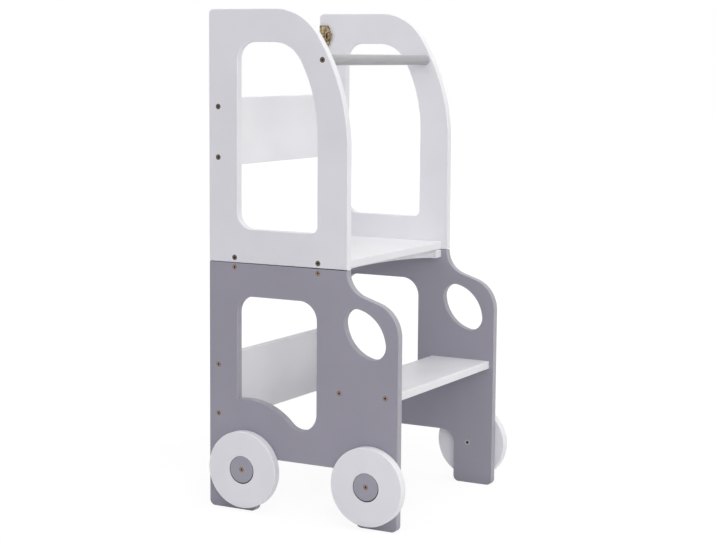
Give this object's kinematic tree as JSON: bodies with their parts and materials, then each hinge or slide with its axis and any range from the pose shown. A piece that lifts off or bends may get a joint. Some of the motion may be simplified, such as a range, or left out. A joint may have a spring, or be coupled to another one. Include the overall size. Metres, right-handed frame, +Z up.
{
  "type": "toddler kitchen helper stool",
  "caption": "Lorry-shaped toddler kitchen helper stool of painted board, whose upper frame folds back on hinges to make a table with a seat.",
  "frame": {"origin": "on the floor, under the middle of the stool's outer box", "axes": "+Z up; -Y to the front, where the bonnet is; +X to the right as seen by someone who stands in front of the bonnet and faces it"},
  "size_m": [0.444, 0.4095, 0.9],
  "materials": {
    "white_paint": "satin white paint",
    "grey_paint": "satin grey paint",
    "bronze_screws": "dark bronze plating",
    "antique_brass": "antique brass",
    "steel": "zinc-plated"
  },
  "bodies": {
    "lower_frame": {"table_top_board": "white_paint", "step_board": "white_paint", "lower_back_board": "white_paint", "lower_side_panel_left": "grey_paint", "lower_side_panel_right": "grey_paint", "hub_back_left": "grey_paint", "hub_back_right": "grey_paint", "hub_front_left": "grey_paint", "hub_front_right": "grey_paint", "table_top_screws": "bronze_screws", "step_screws": "bronze_screws", "lower_back_board_screws": "bronze_screws", "wheel_bolts": "bronze_screws", "hinge_lower_leaf_left": "antique_brass", "hinge_lower_leaf_right": "antique_brass", "hinge_lower_screws": "antique_brass", "hasp_post_left": "antique_brass", "hasp_post_right": "antique_brass", "hasp_post_screws": "antique_brass", "hinge_pin_left": "steel", "hinge_pin_right": "steel", "wheel_inserts": "steel"},
    "upper_frame": {"upper_side_panel_left": "white_paint", "upper_side_panel_right": "white_paint", "platform_board": "white_paint", "upper_back_board": "white_paint", "handle_bar": "grey_paint", "handle_bar_screws": "bronze_screws", "upper_back_board_screws": "bronze_screws", "platform_screws": "bronze_screws", "hinge_upper_leaf_left": "antique_brass", "hinge_upper_leaf_right": "antique_brass", "hinge_upper_screws": "antique_brass", "hasp_leaf_left": "antique_brass", "hasp_leaf_right": "antique_brass", "hasp_pin_left": "steel", "hasp_pin_right": "steel", "hasp_leaf_screws": "antique_brass"},
    "wheel_back_left": {"wheel_back_left": "white_paint"},
    "wheel_back_right": {"wheel_back_right": "white_paint"},
    "wheel_front_left": {"wheel_front_left": "white_paint"},
    "wheel_front_right": {"wheel_front_right": "white_paint"},
    "hasp_tongue_left": {"hasp_tongue_left": "antique_brass"},
    "hasp_tongue_right": {"hasp_tongue_right": "antique_brass"},
    "hasp_button_left": {"hasp_button_left": "antique_brass"},
    "hasp_button_right": {"hasp_button_right": "antique_brass"}
  },
  "joints": [
    {"name": "tower_fold", "type": "hinge", "parent": "lower_frame", "child": "upper_frame", "pos_m": [0, 0.202, 0.4504], "axis": [-1, 0, 0], "range_deg": [0, 180]},
    {"name": "wheel_back_left_spin", "type": "hinge", "parent": "lower_frame", "child": "wheel_back_left", "pos_m": [-0.2135, 0.11925, 0.078], "axis": [1, 0, 0], "continuous": true},
    {"name": "wheel_back_right_spin", "type": "hinge", "parent": "lower_frame", "child": "wheel_back_right", "pos_m": [0.2135, 0.11925, 0.078], "axis": [1, 0, 0], "continuous": true},
    {"name": "wheel_front_left_spin", "type": "hinge", "parent": "lower_frame", "child": "wheel_front_left", "pos_m": [-0.2135, -0.13475, 0.078], "axis": [1, 0, 0], "continuous": true},
    {"name": "wheel_front_right_spin", "type": "hinge", "parent": "lower_frame", "child": "wheel_front_right", "pos_m": [0.2135, -0.13475, 0.078], "axis": [1, 0, 0], "continuous": true},
    {"name": "hasp_tongue_left_swing", "type": "hinge", "parent": "upper_frame", "child": "hasp_tongue_left", "pos_m": [-0.1865, 0.19575, 0.857], "axis": [0, 0, 1], "range_deg": [0, 180]},
    {"name": "hasp_tongue_right_swing", "type": "hinge", "parent": "upper_frame", "child": "hasp_tongue_right", "pos_m": [0.1865, 0.19575, 0.857], "axis": [0, 0, -1], "range_deg": [0, 180]},
    {"name": "hasp_button_left_turn", "type": "hinge", "parent": "lower_frame", "child": "hasp_button_left", "pos_m": [-0.186, 0.19125, 0.0438], "axis": [1, 0, 0], "range_deg": [0, 90]},
    {"name": "hasp_button_right_turn", "type": "hinge", "parent": "lower_frame", "child": "hasp_button_right", "pos_m": [0.186, 0.19125, 0.0438], "axis": [1, 0, 0], "range_deg": [0, 90]}
  ]
}
